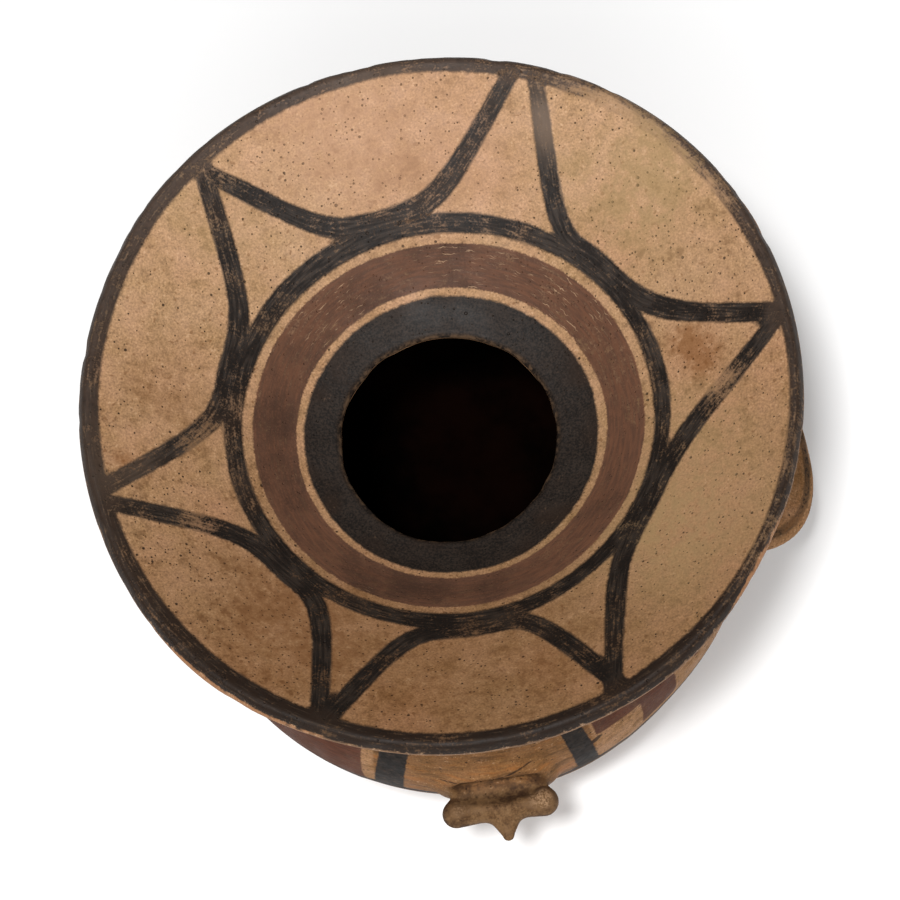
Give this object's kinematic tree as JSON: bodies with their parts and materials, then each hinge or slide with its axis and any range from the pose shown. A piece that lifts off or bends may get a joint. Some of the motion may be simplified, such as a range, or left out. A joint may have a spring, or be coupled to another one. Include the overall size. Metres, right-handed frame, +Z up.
{
  "type": "olla",
  "caption": "Painted earthenware olla: a globular jar with a narrow throat, a very wide funnel rim with a star pattern, and small lugs at its widest level.",
  "frame": {"origin": "centre of the flat foot, on the jar's axis", "axes": "+Z up along the axis; -Y towards the head lug; +X and -X towards the side lugs"},
  "size_m": [0.3086, 0.3, 0.2629],
  "materials": {
    "painted_clay": "slipped and burnished earthenware with black, brown and cream paint, worn at the edges"
  },
  "bodies": {
    "root": {"olla": "painted_clay"}
  },
  "joints": []
}
